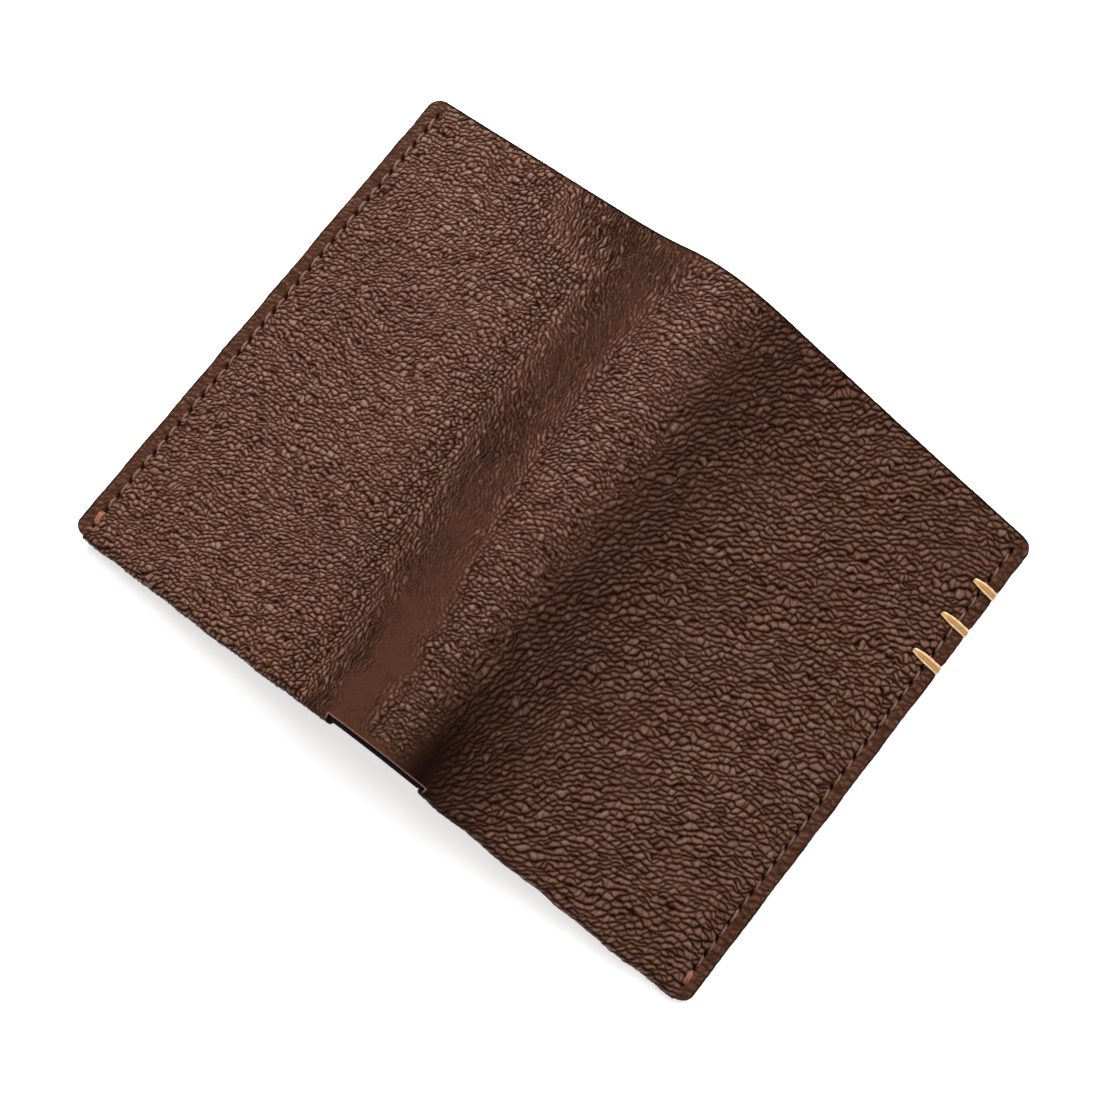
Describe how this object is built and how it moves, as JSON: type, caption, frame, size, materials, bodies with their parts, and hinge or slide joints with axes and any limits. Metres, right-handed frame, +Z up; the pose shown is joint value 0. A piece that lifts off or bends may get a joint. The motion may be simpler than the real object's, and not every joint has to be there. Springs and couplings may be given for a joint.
{
  "type": "business card case",
  "caption": "Bifold leather business card case, open as a low tent with its grain side up, with a turned lower edge, sewn ends and whip stitches.",
  "frame": {"origin": "middle of the base, under the ridge of the open case", "axes": "+X across the open case towards the front cover with the whip stitches, +Y along the spine away from the turned edges, +Z up"},
  "size_m": [0.138, 0.105, 0.0308],
  "materials": {
    "hide": "pebbled shrink-grain leather, semi-matt, dark brown",
    "lining": "fine smooth lining leather, matt",
    "seam_thread": "waxed twisted thread, dark brown",
    "lock_thread": "waxed twisted thread, rust brown",
    "accent_thread": "waxed linen thread, tan gold"
  },
  "bodies": {
    "front_panel": {"front_cover": "hide", "front_turned_edge": "hide", "front_pocket": "hide", "front_lining": "lining", "front_seam_thread": "seam_thread", "front_lock_stitch": "lock_thread", "accent_stitches": "accent_thread"},
    "spine": {"spine_hide": "hide", "spine_lining": "lining"},
    "back_panel": {"back_cover": "hide", "back_turned_edge": "hide", "back_pocket": "hide", "back_lining": "lining", "back_seam_thread": "seam_thread", "back_lock_stitch": "lock_thread"}
  },
  "joints": [
    {"name": "front_crease", "type": "hinge", "parent": "front_panel", "child": "spine", "pos_m": [0.00492, 0, 0.02863], "axis": [0, -1, 0], "range_deg": [-22, 68.5]},
    {"name": "back_crease", "type": "hinge", "parent": "spine", "child": "back_panel", "pos_m": [-0.00506, 0, 0.02851], "axis": [0, -1, 0], "range_deg": [-22, 68.5]}
  ],
  "couplings": [
    {"joint": "back_crease", "follows": "front_crease", "ratio": 1}
  ]
}
